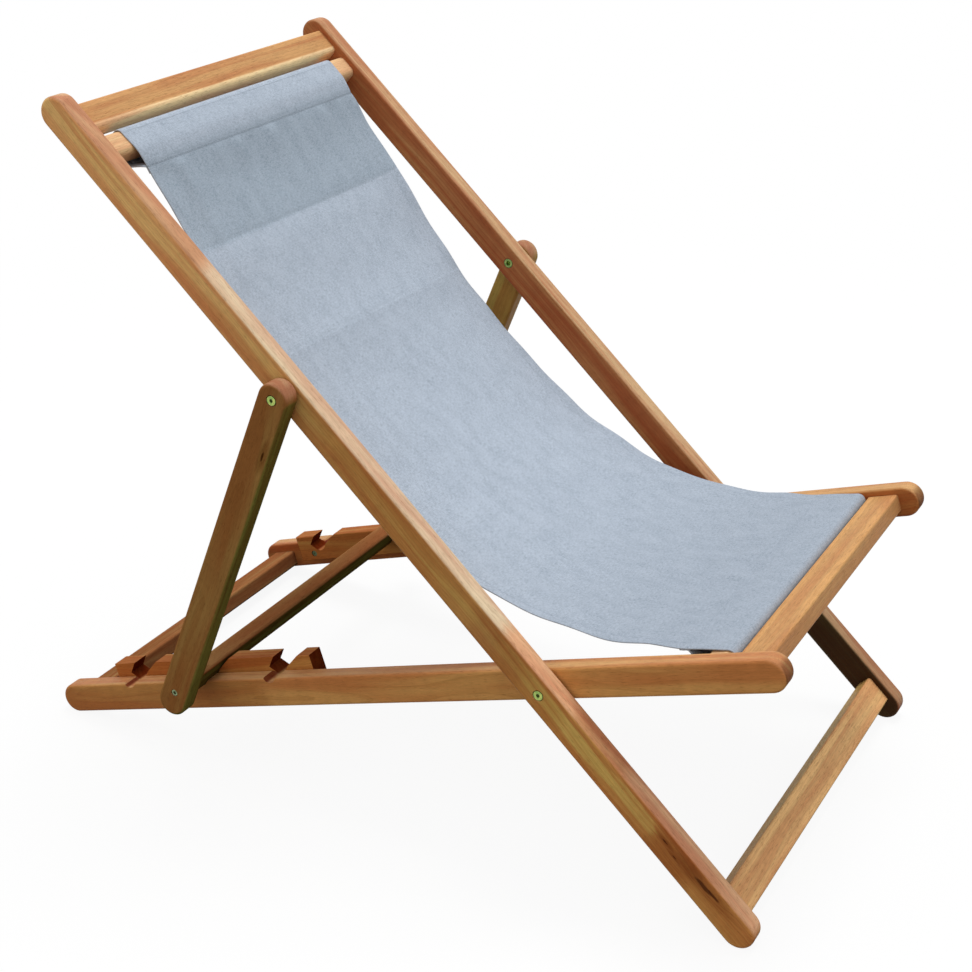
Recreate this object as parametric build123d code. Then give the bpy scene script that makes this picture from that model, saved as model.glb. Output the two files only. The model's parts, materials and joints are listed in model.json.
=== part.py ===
import os
from math import acos, atan2, cos, degrees, hypot, radians, sin, sqrt

from build123d import *

# A folding wooden sling chair. Three nested frames carry one cloth: the seat frame inside, the back frame round
# it, and the prop frame outside both. Sizes are in millimetres and angles in degrees.
# The frame of the part: X is the width, with the sitter's left on +X, -Y is the front, Z is up, and the origin
# lies on the floor under the middle of the chair. "Reach" is a distance along a rail from its pivot.

# Timber stock shared by the long rails and the legs
rail_thickness = 24.0
rail_depth = 38.0
rail_edge_radius = 4.0

# Widths across the three nested frames
seat_frame_width = 482.0
layer_gap = 2.5

# Long rails, measured to the centres of their round ends
seat_front_reach = 257.0
seat_rear_reach = 727.0
back_foot_reach = 325.0
back_head_reach = 825.0
prop_pivot_reach = 424.0
prop_leg_reach = 446.5
prop_leg_tail = 15.0

# Boards that join the rails
board_thickness = 22.0
board_edge_radius = 3.0
head_board_width = 36.0
head_board_setback = 2.0
head_board_nose_radius = 7.0
foot_board_width = 37.0
foot_board_setback = 3.0
front_board_width = 38.0
front_board_setback = 5.0
rear_board_width = 35.0
rear_board_drop = 4.0

# Bars that the sling goes round
sling_bar_depth = 30.0
sling_bar_edge_radius = 8.0
top_bar_gap = 9.0
front_bar_gap = 3.0
front_bar_rise = 1.5

# Bar of the prop frame, held upright in line with its legs
cross_bar_depth = 30.0
cross_bar_thickness = 20.0
cross_bar_edge_radius = 4.0

# Blocks with the notches for the cross bar
block_thickness = 24.0
block_height = 38.0
block_rise = 17.0
block_front_reach = 337.5
block_length = 322.5
block_edge_radius = 2.0
notch_upright_reach = 384.0
notch_middle_reach = 493.0
notch_low_reach = 616.0
notch_sink = 6.0
notch_side_clearance = 1.0
notch_floor_clearance = 0.3
notch_round_share = 0.9
notch_bevel_drop = 13.0
notch_mouth_length = 37.0

# Stopped tenons at the ends of boards and sling bars
tenon_length = 14.0
tenon_shoulder = 6.0
tenon_play = 0.05

# Pivots: a bolt screwed into a flanged sleeve, with a washer between the rails
sleeve_radius = 4.0
sleeve_flange_radius = 6.0
sleeve_flange_thickness = 2.5
sleeve_end_gap = 0.6
bolt_shank_radius = 3.0
bolt_head_radius = 5.5
bolt_head_thickness = 3.0
bolt_tip_inset = 6.0
socket_radius = 2.3
socket_depth = 2.0
counterbore_radius = 6.5
washer_radius = 8.0
pivot_clearance = 0.05

# Wood screws
screw_head_radius = 4.0
screw_head_thickness = 2.6
screw_recess_radius = 4.6
screw_recess_depth = 3.4
screw_shank_radius = 2.2
screw_play = 0.05
bar_screw_length = 60.0
block_screw_length = 38.0
block_screw_height = 10.7
block_screw_shares = (0.045, 0.31, 0.675, 0.92)

# Sling
sling_side_gap = 5.0
sling_thickness = 1.5
sling_clearance = 0.3
seam_gap = 22.0
seam_lap = 6.0
front_seam_rise = 6.0
top_seam_set = 4.3
# Hanging form between the two seams, as shares of the straight distance between them: ends and middles of the
# arcs, along that line and below it. The arcs meet at an angle along the two fold lines of the back.
sag_end_shares = ((0.0, 0.0), (0.189, 0.140), (0.36, 0.1775), (0.52, 0.164), (0.681, 0.1255), (0.855, 0.059),
                  (1.0, 0.0))
sag_middle_shares = ((0.083, 0.078), (0.26, 0.1645), (0.44, 0.176), (0.602, 0.149), (0.77, 0.097), (0.93, 0.032))

overrun = 5.0

# Layers from the middle outwards
seat_outer = seat_frame_width / 2
seat_inner = seat_outer - rail_thickness
back_inner = seat_outer + layer_gap
back_outer = back_inner + rail_thickness
prop_inner = back_outer + layer_gap
prop_outer = prop_inner + rail_thickness
block_inner = seat_inner - block_thickness
sling_half_width = seat_inner - sling_side_gap

# Heights above the seat rail's centre line
rail_top = rail_depth / 2
block_top = rail_top + block_rise
block_bottom = block_top - block_height
notch_height = block_top - notch_sink

# The triangle of the two pivots and the cross bar in the middle notch sets the angle between the frames
bar_distance = hypot(notch_middle_reach, notch_height)
bar_elevation = degrees(atan2(notch_height, notch_middle_reach))
pivot_cosine = (prop_pivot_reach**2 + bar_distance**2 - prop_leg_reach**2) / (2 * prop_pivot_reach * bar_distance)
frame_angle = degrees(acos(pivot_cosine)) + bar_elevation

# The chair stands on the round ends of the seat rails and of the back rails
foot_drop = back_foot_reach * sin(radians(frame_angle))
foot_forward = back_foot_reach * cos(radians(frame_angle))
seat_tilt = degrees(atan2(foot_drop, seat_rear_reach + foot_forward))
seat_angle = -seat_tilt
back_angle = frame_angle - seat_tilt
pivot_height = rail_depth / 2 + seat_rear_reach * sin(radians(seat_tilt))
pivot_set = -(seat_rear_reach - seat_front_reach) / 2 * cos(radians(seat_tilt))


def rail_plane(y, z, angle):
    """Plane whose X runs along a rail, whose Y is the rail's upper side and whose Z is the chair's width."""
    return Plane(origin=(0, y, z), x_dir=(0, cos(radians(angle)), sin(radians(angle))), z_dir=(1, 0, 0))


def turned(u, v, angle):
    return (
        u * cos(radians(angle)) - v * sin(radians(angle)),
        u * sin(radians(angle)) + v * cos(radians(angle)),
    )


seat_plane = rail_plane(pivot_set, pivot_height, seat_angle)
back_plane = rail_plane(pivot_set, pivot_height, back_angle)
prop_pivot_y = pivot_set + prop_pivot_reach * cos(radians(back_angle))
prop_pivot_z = pivot_height + prop_pivot_reach * sin(radians(back_angle))

# Direction of the prop leg, in the seat rail's own coordinates, down towards the middle notch
prop_top = turned(prop_pivot_reach, 0, frame_angle)
prop_lean = degrees(atan2(notch_height - prop_top[1], notch_middle_reach - prop_top[0]))
prop_plane = rail_plane(prop_pivot_y, prop_pivot_z, seat_angle + prop_lean)


def prism(plane, section, x_start, x_end):
    """Section drawn on a rail's plane, carried across the chair from one X to another."""
    low, high = min(x_start, x_end), max(x_start, x_end)
    return extrude(plane * Pos(0, 0, low) * section, amount=high - low, dir=(1, 0, 0))


def disc(plane, u, v, radius, x_start, x_end):
    return prism(plane, Pos(u, v) * Circle(radius), x_start, x_end)


def long_rail(plane, low_reach, high_reach, x_inner, x_outer):
    """Rail with fully round ends and eased edges."""
    outline = Pos((low_reach + high_reach) / 2, 0) * SlotCenterToCenter(high_reach - low_reach, rail_depth)
    rail = prism(plane, outline, x_inner, x_outer)
    rims = rail.faces().sort_by(Axis.X)
    return fillet(rims[0].edges() + rims[-1].edges(), rail_edge_radius)


def member_section(u, v, width, thickness, radius, nose_radius=None):
    """Section of a board or bar, with one larger rounding on its lower sitter's edge where one is given."""
    if nose_radius is None:
        return Pos(u, v) * RectangleRounded(width, thickness, radius)
    section = Rectangle(width, thickness)
    corners = section.vertices().sort_by(lambda corner: corner.X - corner.Y)
    section = fillet(corners[0:1], nose_radius)
    plain = [corner for corner in section.vertices() if abs(corner.X * corner.Y) == max_corner(width, thickness)]
    return Pos(u, v) * fillet(plain, radius)


def max_corner(width, thickness):
    return width * thickness / 4


def tenon_section(u, v, width, thickness, play):
    return Pos(u, v) * Rectangle(width - 2 * tenon_shoulder + 2 * play, thickness - 2 * tenon_shoulder + 2 * play)


def cross_member(plane, u, v, width, thickness, half_span, radius, nose_radius=None):
    """Board or bar between two rails, with a stopped tenon at each end."""
    body = prism(plane, member_section(u, v, width, thickness, radius, nose_radius), -half_span, half_span)
    reach = half_span + tenon_length
    return body + prism(plane, tenon_section(u, v, width, thickness, 0), -reach, reach)


def mortise(plane, u, v, width, thickness, side, x_face):
    """Stopped hole for a tenon in a rail's inner face."""
    section = tenon_section(u, v, width, thickness, tenon_play)
    return prism(plane, section, side * (x_face - overrun), side * (x_face + tenon_length + tenon_play))


# Places of the boards and bars along their rails, and their offsets from the rails' centre lines
head_board_place = (back_head_reach - head_board_setback - head_board_width / 2, 0)
foot_board_place = (-back_foot_reach + foot_board_setback + foot_board_width / 2, 0)
front_board_place = (-seat_front_reach + front_board_setback + front_board_width / 2, 0)
rear_board_place = (seat_rear_reach - rear_board_width / 2, -rear_board_drop)
top_bar_place = (
    head_board_place[0] - head_board_width / 2 - top_bar_gap - sling_bar_depth / 2,
    -rail_top + sling_bar_depth / 2,
)
front_bar_place = (
    front_board_place[0] + front_board_width / 2 + front_bar_gap + sling_bar_depth / 2,
    front_bar_rise,
)

seat_members = {
    "seat_front_board": (front_board_place, front_board_width, board_thickness, board_edge_radius),
    "seat_rear_board": (rear_board_place, rear_board_width, board_thickness, board_edge_radius),
    "sling_bar_front": (front_bar_place, sling_bar_depth, sling_bar_depth, sling_bar_edge_radius),
}
back_members = {
    "head_board": (head_board_place, head_board_width, board_thickness, board_edge_radius),
    "foot_board": (foot_board_place, foot_board_width, board_thickness, board_edge_radius),
    "sling_bar_top": (top_bar_place, sling_bar_depth, sling_bar_depth, sling_bar_edge_radius),
}


def notch_section(reach):
    """Slanted slot for the cross bar, with a bevelled mouth towards the front. Its floor is nearly a half circle,
    and the bar's two lower edges lie in it, a clearance from its arcs."""
    down = turned(1, 0, prop_lean)
    rear = turned(0, 1, prop_lean)
    half = cross_bar_thickness / 2 + notch_side_clearance
    floor_radius = notch_round_share * half
    between = floor_radius - cross_bar_edge_radius - notch_floor_clearance
    between_across = (cross_bar_thickness / 2 - cross_bar_edge_radius) - (half - floor_radius)
    between_along = sqrt(between**2 - between_across**2)
    floor = cross_bar_depth / 2 - cross_bar_edge_radius - between_along + floor_radius
    above = block_top + overrun

    def point(along, across):
        return (reach + along * down[0] + across * rear[0], notch_height + along * down[1] + across * rear[1])

    def climb(across, height):
        """Distance up the slot's wall to a height."""
        return (height - notch_height - across * rear[1]) / down[1]

    rear_lip = point(climb(half, block_top), half)
    bevel_start = point(climb(-half, block_top - notch_bevel_drop), -half)
    front_lip = (rear_lip[0] - notch_mouth_length, block_top)
    slope = (front_lip[0] - bevel_start[0]) / (front_lip[1] - bevel_start[1])
    outline = Polyline(
        (front_lip[0] + overrun * slope, above),
        bevel_start,
        point(floor, -half),
        point(floor, half),
        point(climb(half, above), half),
        close=True,
    )
    slot = make_face(outline)
    corners = slot.vertices().sort_by(Axis.Y)[0:2]
    return fillet(corners, floor_radius)


notch_cut = Sketch() + [notch_section(reach) for reach in (notch_upright_reach, notch_middle_reach, notch_low_reach)]
block_screw_reaches = [block_front_reach + share * block_length for share in block_screw_shares]
block_screw_v = block_bottom + block_screw_height


def seat_rail(side):
    """Inner rail, with the shallow grooves that carry on the notches of its block."""
    rail = long_rail(seat_plane, -seat_front_reach, seat_rear_reach, side * seat_inner, side * seat_outer)
    rail -= prism(seat_plane, notch_cut, side * (seat_inner - overrun), side * (seat_outer + overrun))
    for place, width, thickness, radius in seat_members.values():
        rail -= mortise(seat_plane, *place, width, thickness, side, seat_inner)
    for reach in block_screw_reaches:
        tip = block_inner + screw_recess_depth - screw_head_thickness + block_screw_length + screw_play
        hole = disc(seat_plane, reach, block_screw_v, screw_shank_radius + screw_play, side * seat_inner, side * tip)
        rail -= hole
    return rail - sleeve_holes(seat_plane, 0, side, seat_inner, seat_outer)


def back_rail(side):
    """Middle rail: it turns on the seat rail, and the prop leg turns on it."""
    rail = long_rail(back_plane, -back_foot_reach, back_head_reach, side * back_inner, side * back_outer)
    for place, width, thickness, radius in back_members.values():
        rail -= mortise(back_plane, *place, width, thickness, side, back_inner)
    rail -= head_holes(back_plane, 0, side, back_inner, back_outer)
    return rail - sleeve_holes(back_plane, prop_pivot_reach, side, back_inner, back_outer)


def prop_leg(side):
    """Outer leg, with a counterbore for its pivot bolt and a recess for its screw."""
    leg = long_rail(prop_plane, 0, prop_leg_reach + prop_leg_tail, side * prop_inner, side * prop_outer)
    leg -= head_holes(prop_plane, 0, side, prop_inner, prop_outer)
    hole = (prop_plane, prop_leg_reach, 0, screw_shank_radius + screw_play, side * prop_inner, side * prop_outer)
    recess = (side * (prop_outer - screw_recess_depth), side * (prop_outer + overrun))
    leg -= disc(*hole)
    return leg - disc(prop_plane, prop_leg_reach, 0, screw_recess_radius, *recess)


def prop_cross_bar():
    """Bar butted between the prop legs, with a hole in each end for its screw."""
    section = Pos(prop_leg_reach, 0) * RectangleRounded(cross_bar_depth, cross_bar_thickness, cross_bar_edge_radius)
    bar = prism(prop_plane, section, -prop_inner, prop_inner)
    depth = bar_screw_length - (rail_thickness - screw_recess_depth) - screw_head_thickness + screw_play
    for side in (-1, 1):
        ends = (side * prop_inner, side * (prop_inner - depth))
        bar -= disc(prop_plane, prop_leg_reach, 0, screw_shank_radius + screw_play, *ends)
    return bar


def notch_block(side):
    """Block screwed to the inner face of a seat rail, with three notches for the cross bar."""
    place = Pos(block_front_reach + block_length / 2, (block_top + block_bottom) / 2)
    block = prism(seat_plane, place * Rectangle(block_length, block_height), side * block_inner, side * seat_inner)
    inner_face = block.faces().sort_by(Axis.X)[-1 if side < 0 else 0]
    block = fillet(inner_face.edges(), block_edge_radius)
    block -= prism(seat_plane, notch_cut, side * (block_inner - overrun), side * (seat_inner + overrun))
    for reach in block_screw_reaches:
        block -= disc(
            seat_plane, reach, block_screw_v, screw_shank_radius + screw_play, side * block_inner, side * seat_inner
        )
        recess = (side * (block_inner - overrun), side * (block_inner + screw_recess_depth))
        block -= disc(seat_plane, reach, block_screw_v, screw_recess_radius, *recess)
    return block


def wood_screw(plane, u, v, side, x_head, length, inward):
    """Screw with a flat head, sunk below the face at x_head; inward is 1 where it points away from the middle."""
    head_start = x_head + inward * (screw_recess_depth - screw_head_thickness)
    head_end = x_head + inward * screw_recess_depth
    screw = disc(plane, u, v, screw_head_radius, side * head_start, side * head_end)
    screw += disc(plane, u, v, screw_shank_radius, side * head_end, side * (head_start + inward * length))
    socket = prism(
        plane,
        Pos(u, v) * RegularPolygon(socket_radius, 6),
        side * (head_start - inward * overrun),
        side * (head_start + inward * screw_head_thickness / 2),
    )
    return screw - socket


def sleeve_holes(plane, u, side, x_inner, x_outer):
    """Through hole for a sleeve, with a counterbore for its flange in the inner face."""
    hole = disc(plane, u, 0, sleeve_radius + pivot_clearance, side * (x_inner - overrun), side * (x_outer + overrun))
    flange = (side * (x_inner - overrun), side * (x_inner + sleeve_flange_thickness))
    return hole + disc(plane, u, 0, counterbore_radius, *flange)


def head_holes(plane, u, side, x_inner, x_outer):
    """Through hole for a sleeve, with a counterbore for the bolt's head in the outer face."""
    hole = disc(plane, u, 0, sleeve_radius + pivot_clearance, side * (x_inner - overrun), side * (x_outer + overrun))
    head = (side * (x_outer - bolt_head_thickness - pivot_clearance), side * (x_outer + overrun))
    return hole + disc(plane, u, 0, counterbore_radius, *head)


def pivot_sleeve(plane, u, side, x_inner, x_outer):
    """Flanged sleeve through both rails; its flange lies flush in the inner one."""
    barrel_end = x_outer - bolt_head_thickness - pivot_clearance - sleeve_end_gap
    flange_end = x_inner + sleeve_flange_thickness
    sleeve = disc(plane, u, 0, sleeve_radius, side * x_inner, side * barrel_end)
    sleeve += disc(plane, u, 0, sleeve_flange_radius, side * x_inner, side * flange_end)
    bore = (side * (x_inner - overrun), side * (barrel_end + overrun))
    return sleeve - disc(plane, u, 0, bolt_shank_radius + pivot_clearance, *bore)


def pivot_bolt(plane, u, side, x_inner, x_outer):
    """Bolt with a hexagon socket, its head flush with the outer rail's face."""
    head_floor = x_outer - bolt_head_thickness
    bolt = disc(plane, u, 0, bolt_shank_radius, side * (x_inner + bolt_tip_inset), side * head_floor)
    bolt += disc(plane, u, 0, bolt_head_radius, side * head_floor, side * x_outer)
    socket = Pos(u, 0) * RegularPolygon(socket_radius, 6)
    return bolt - prism(plane, socket, side * (x_outer - socket_depth), side * (x_outer + overrun))


def pivot_washer(plane, u, side, x_gap_start):
    """Washer that fills the gap between two rails, but for its running clearance."""
    faces = (side * x_gap_start, side * (x_gap_start + layer_gap - pivot_clearance))
    ring = disc(plane, u, 0, washer_radius, *faces)
    return ring - disc(plane, u, 0, sleeve_radius + pivot_clearance, *faces)


def pocket(corners):
    """Hem of cloth round a sling bar: a closed outline less the same outline one cloth thickness inside it."""
    outline = make_face(Polyline(*corners, close=True))
    bends = [
        corner
        for corner in outline.vertices()
        if hypot(corner.X - corners[0][0], corner.Y - corners[0][1]) > sling_thickness
    ]
    outline = fillet(bends, sling_bar_edge_radius)
    return outline - offset(outline, amount=-sling_thickness)


def hanging_strip(front_seam, front_corner, top_seam, top_corner):
    """Cloth between the two seams: arcs on the sitter's side, and the same arcs one thickness behind them."""
    span = (top_seam[0] - front_seam[0], top_seam[1] - front_seam[1])

    def spot(shares):
        along, below = shares
        return (
            front_seam[0] + along * span[0] + below * span[1],
            front_seam[1] + along * span[1] - below * span[0],
        )

    def towards(start, end, distance):
        length = hypot(end[0] - start[0], end[1] - start[1])
        share = distance / length
        return (start[0] + share * (end[0] - start[0]), start[1] + share * (end[1] - start[1]))

    def behind(place, before, after):
        length = hypot(after[0] - before[0], after[1] - before[1])
        return (
            place[0] + sling_thickness * (after[1] - before[1]) / length,
            place[1] - sling_thickness * (after[0] - before[0]) / length,
        )

    ends = [spot(shares) for shares in sag_end_shares]
    middles = [spot(shares) for shares in sag_middle_shares]
    laps = (towards(front_seam, front_corner, seam_lap), towards(top_seam, top_corner, seam_lap))
    back_ends = [
        behind(place, middles[max(i - 1, 0)] if i else laps[0], middles[i] if i < len(middles) else laps[1])
        for i, place in enumerate(ends)
    ]
    back_middles = [behind(place, ends[i], ends[i + 1]) for i, place in enumerate(middles)]
    back_laps = (behind(laps[0], laps[0], front_seam), behind(laps[1], top_seam, laps[1]))
    edges = [Line(laps[0], ends[0]), Line(ends[-1], laps[1]), Line(laps[0], back_laps[0]), Line(laps[1], back_laps[1])]
    edges += [Line(back_laps[0], back_ends[0]), Line(back_ends[-1], back_laps[1])]
    for i in range(len(middles)):
        edges.append(ThreePointArc(ends[i], middles[i], ends[i + 1]))
        edges.append(ThreePointArc(back_ends[i], back_middles[i], back_ends[i + 1]))
    return make_face(Curve() + edges)


def sling():
    """One length of cloth with a pocket hem round each bar, hanging between them."""
    half = sling_bar_depth / 2 + sling_clearance + sling_thickness
    front_u, front_v = front_bar_place
    front_seam = (front_u + sling_bar_depth / 2 + seam_gap, front_v + sling_bar_depth / 2 + front_seam_rise)
    front_corners = [
        front_seam,
        (front_u - half, front_v + half),
        (front_u - half, front_v - half),
        (front_u + half, front_v - half),
    ]
    top_u, top_v = top_bar_place
    top_outline = [
        (top_u - sling_bar_depth / 2 - seam_gap, top_v + sling_bar_depth / 2 - top_seam_set),
        (top_u - half, top_v + half),
        (top_u + half, top_v + half),
        (top_u + half, top_v - half),
        (top_u - half, top_v - half),
    ]
    top_corners = [turned(u, v, frame_angle) for u, v in top_outline]
    section = pocket(front_corners) + pocket(top_corners)
    section += hanging_strip(front_seam, front_corners[1], top_corners[0], top_corners[1])
    return prism(seat_plane, section, -sling_half_width, sling_half_width)


parts = {}
for name, side in (("left", 1), ("right", -1)):
    parts[f"seat_rail_{name}"] = seat_rail(side)
    parts[f"back_rail_{name}"] = back_rail(side)
    parts[f"prop_leg_{name}"] = prop_leg(side)
    parts[f"notch_block_{name}"] = notch_block(side)
    parts[f"notch_block_screws_{name}"] = Compound(
        [
            wood_screw(seat_plane, reach, block_screw_v, side, block_inner, block_screw_length, 1).solid()
            for reach in block_screw_reaches
        ]
    )
    parts[f"prop_bar_screw_{name}"] = wood_screw(prop_plane, prop_leg_reach, 0, side, prop_outer, bar_screw_length, -1)
    parts[f"seat_pivot_sleeve_{name}"] = pivot_sleeve(seat_plane, 0, side, seat_inner, back_outer)
    parts[f"seat_pivot_bolt_{name}"] = pivot_bolt(seat_plane, 0, side, seat_inner, back_outer)
    parts[f"seat_pivot_washer_{name}"] = pivot_washer(seat_plane, 0, side, seat_outer)
    parts[f"prop_pivot_sleeve_{name}"] = pivot_sleeve(back_plane, prop_pivot_reach, side, back_inner, prop_outer)
    parts[f"prop_pivot_bolt_{name}"] = pivot_bolt(back_plane, prop_pivot_reach, side, back_inner, prop_outer)
    parts[f"prop_pivot_washer_{name}"] = pivot_washer(back_plane, prop_pivot_reach, side, back_outer)
for name, (place, width, thickness, radius) in seat_members.items():
    parts[name] = cross_member(seat_plane, *place, width, thickness, seat_inner, radius)
for name, (place, width, thickness, radius) in back_members.items():
    nose_radius = head_board_nose_radius if name == "head_board" else None
    parts[name] = cross_member(back_plane, *place, width, thickness, back_inner, radius, nose_radius)
parts["prop_cross_bar"] = prop_cross_bar()
parts["sling"] = sling()

os.makedirs("parts", exist_ok=True)
for name, shape in parts.items():
    export_step(shape, f"parts/{name}.step")
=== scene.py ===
import json
from math import acos, pi, radians, sin, tan

import bpy
import numpy as np
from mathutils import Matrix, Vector


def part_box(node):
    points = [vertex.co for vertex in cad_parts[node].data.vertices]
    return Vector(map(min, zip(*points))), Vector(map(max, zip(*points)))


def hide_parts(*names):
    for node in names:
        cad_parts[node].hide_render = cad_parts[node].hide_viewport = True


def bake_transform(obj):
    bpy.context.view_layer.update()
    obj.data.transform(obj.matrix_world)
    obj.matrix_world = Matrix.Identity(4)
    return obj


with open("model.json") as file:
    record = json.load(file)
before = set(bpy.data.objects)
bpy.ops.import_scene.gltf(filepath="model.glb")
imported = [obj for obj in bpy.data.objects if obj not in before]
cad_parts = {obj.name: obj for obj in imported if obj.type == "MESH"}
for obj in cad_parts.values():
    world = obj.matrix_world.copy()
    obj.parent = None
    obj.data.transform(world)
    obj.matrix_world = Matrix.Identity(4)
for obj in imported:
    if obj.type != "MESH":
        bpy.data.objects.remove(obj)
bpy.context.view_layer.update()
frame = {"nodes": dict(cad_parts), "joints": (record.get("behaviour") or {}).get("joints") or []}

# Seat rails: two straight bars of oiled tropical hardwood, 24 by 38 mm, planed, rounded at both ends and eased
# along every edge. Shallow grooves in their top carry on the notches of the blocks screwed beside them.
rail_thickness = 0.024
rail_depth = 0.038
millimetres = 1000.0
joints = {joint["name"]: joint for joint in frame["joints"]}
seat_pivot = np.array(joints["recline"]["pos_m"])
prop_pivot = np.array(joints["prop_swing"]["pos_m"])
across = np.array([1.0, 0.0, 0.0])


def unit(vector):
    """The vector divided by its length."""
    return vector / np.linalg.norm(vector)


def centre_of(node):
    """Middle of a node's box: half the sum of its two corners."""
    low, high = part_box(node)
    return (np.array(low) + np.array(high)) / 2


def square_to(run):
    """A quarter turn from a rail's own direction, in the plane of the chair's side."""
    return np.array([0.0, -run[2], run[1]])


rail_low, rail_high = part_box("seat_rail_left")
rail_rear = np.array([0.0, rail_high[1] - rail_depth / 2, rail_low[2] + rail_depth / 2])
seat_run = unit(rail_rear - seat_pivot)
seat_rise = square_to(seat_run)


class Socket:
    """One output of a node; sums and products with it add Math nodes."""

    def __init__(self, nodes, output):
        self.nodes = nodes
        self.output = output

    def math(self, operation, *others):
        """A Math node over this value and the others."""
        return self.nodes.node("ShaderNodeMath", {"operation": operation}, dict(enumerate((self, *others))))

    def __add__(self, other):
        return self.math("ADD", other)

    def __mul__(self, other):
        return self.math("MULTIPLY", other)

    def __sub__(self, other):
        return self.math("SUBTRACT", other)

    def __rsub__(self, other):
        return (self * -1.0) + other

    def __truediv__(self, other):
        return self.math("DIVIDE", other)

    def __pow__(self, other):
        return self.math("POWER", other)

    __radd__ = __add__
    __rmul__ = __mul__

    def size(self):
        """The value without its sign."""
        return self.math("ABSOLUTE")

    def ramp(self, start, end, low=0.0, high=1.0):
        """Eased climb from low to high while the value goes from start to end."""
        values = dict(enumerate((self, start, end, low, high)))
        return self.nodes.node("ShaderNodeMapRange", {"interpolation_type": "SMOOTHSTEP"}, values)

    def other(self, name):
        """Another output of the same node."""
        return Socket(self.nodes, self.output.node.outputs[name])


class Nodes:
    """The node tree of a finish or of the sky."""

    def __init__(self, tree, shader):
        self.tree = tree
        self.shader = tree.nodes[shader]

    def node(self, kind, settings=None, sockets=None, output=0):
        """Adds a node: its settings first, then the values or links of its sockets."""
        node = self.tree.nodes.new(kind)
        for setting, value in (settings or {}).items():
            setattr(node, setting, value)
        for socket, value in (sockets or {}).items():
            self.feed(node.inputs[socket], value)
        return Socket(self, node.outputs[output])

    def feed(self, socket, value):
        """Links a socket to another node's output, or sets its value."""
        if isinstance(value, Socket):
            self.tree.links.new(value.output, socket)
        else:
            socket.default_value = value

    def show(self, **sockets):
        """Feeds the shader's sockets, named with underscores for their spaces."""
        for socket, value in sockets.items():
            self.feed(self.shader.inputs[socket.replace("_", " ")], value)

    def vector(self, x, y, z):
        """Three numbers as one vector."""
        return self.node("ShaderNodeCombineXYZ", None, {0: x, 1: y, 2: z})

    def cloud(self, x, y, z, detail=2.0, roughness=0.5):
        """Soft noise from 0 to 1 over three lengths, each already divided by the size of its lumps."""
        sockets = {"Vector": self.vector(x, y, z), "Scale": 1.0, "Detail": detail, "Roughness": roughness}
        return self.node("ShaderNodeTexNoise", None, sockets, "Fac")

    def mix(self, share, first, second, blend="MIX"):
        """Colour between two colours, or the second laid over the first by a blend."""
        settings = {"data_type": "RGBA", "blend_type": blend}
        return self.node("ShaderNodeMix", settings, {0: share, 6: first, 7: second}, 2)

    def shade(self, colour, tone):
        """Colour times a number."""
        return self.mix(1.0, colour, self.vector(tone, tone, tone), "MULTIPLY")

    def lengths(self, middle, *axes):
        """Distances in millimetres from a point, along each axis, in the piece's own space."""
        place = self.node("ShaderNodeTexCoord", output="Object")
        offset = self.node("ShaderNodeVectorMath", {"operation": "SUBTRACT"}, {0: place, 1: tuple(middle)})
        return [self.towards(offset, axis) * millimetres for axis in axes]

    def towards(self, vector, axis):
        """How far a vector reaches along an axis: their dot product."""
        sockets = {0: vector, 1: tuple(axis)}
        return self.node("ShaderNodeVectorMath", {"operation": "DOT_PRODUCT"}, sockets, "Value")

    def relief(self, height, depth, strength=1.0):
        """Normal of a surface that stands up by a height from 0 to 1 times a depth in metres."""
        sockets = {"Height": height, "Distance": depth, "Strength": strength}
        return self.node("ShaderNodeBump", None, sockets)


class Finish(Nodes):
    """A material made of nodes, round one shader, with the values that are the same all over it."""

    def __init__(self, name, **same_all_over):
        self.material = bpy.data.materials.new(name)
        self.material.use_nodes = True
        super().__init__(self.material.node_tree, "Principled BSDF")
        self.show(**same_all_over)

    def cover(self, node):
        """Gives a piece of the frame this finish and keeps its shape."""
        for slot in frame["nodes"][node].material_slots:
            slot.material = self.material


# Grain of the timber, in millimetres: the width of a growth ring and how rings crowd and wander, how far the pith
# lies, and the length and width of its zones, streaks, fibres, pores, flecks and figure
ring_width = 3.1
crowding, crowding_width = 2.4, 14.0
pith_nearest, pith_farthest, pith_lean = 38, 85, 0.03
wander, wander_length, wander_width = 26.0, 300.0, 46.0
zone_length, zone_width = 230.0, 21.0
streak_length, streak_width = 420.0, 8.5
fibre_length, fibre_width = 26.0, 0.75
pore_length, pore_width = 9.0, 0.6
fleck_length, fleck_width = 13.0, 1.5
figure_length, figure_width = 15.0, 60.0
seed_spread = 400
# A knot's length for its height, how its rim frays, and where it and its halo fade, in squares of its size
knot_length = 4.5
fray_length, fray_height, fray_width = 7.0, 1.4, 3.0
knot_rim, halo_rim = (1.6, 0.8), (16.0, 3.0)
# A vein's drift up and down, the fraying of its edge, how softly it ends across and along, and where it fades
vein_drift, vein_drift_length = 14.0, 120.0
vein_fray, vein_fray_length, vein_fray_height = 6.0, 30.0, 3.5
vein_edge, vein_start, vein_stop = 1.5, 5.0, 60.0
vein_fainter = (140.0, 260.0, 1.0, 0.55)
# The drift and the soft end of a stretch of another colour, the drift of the sapwood band with its painted
# highlight, and the soft end of sawn walls with painted shade
stretch_drift, stretch_end = 44.0, 14.0
sapwood_drift, sawn_end = 3.0, 1.0
# How far a face has turned to one side where its change begins and where it is full, and the same for worn edges
# with a painted highlight as shares of half a side
sky_turn, end_turn, wall_turn = (0.25, 0.85), (0.62, 0.93), (0.25, 0.60)
ground_turn, inner_turn = (0.08, 0.30), (0.3, 0.9)
rubbed_highlit_deep, rubbed_highlit_wide = (0.86, 0.97), (0.80, 0.96)
grain_depth = 0.00022
oil_gloss = 0.08
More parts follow.
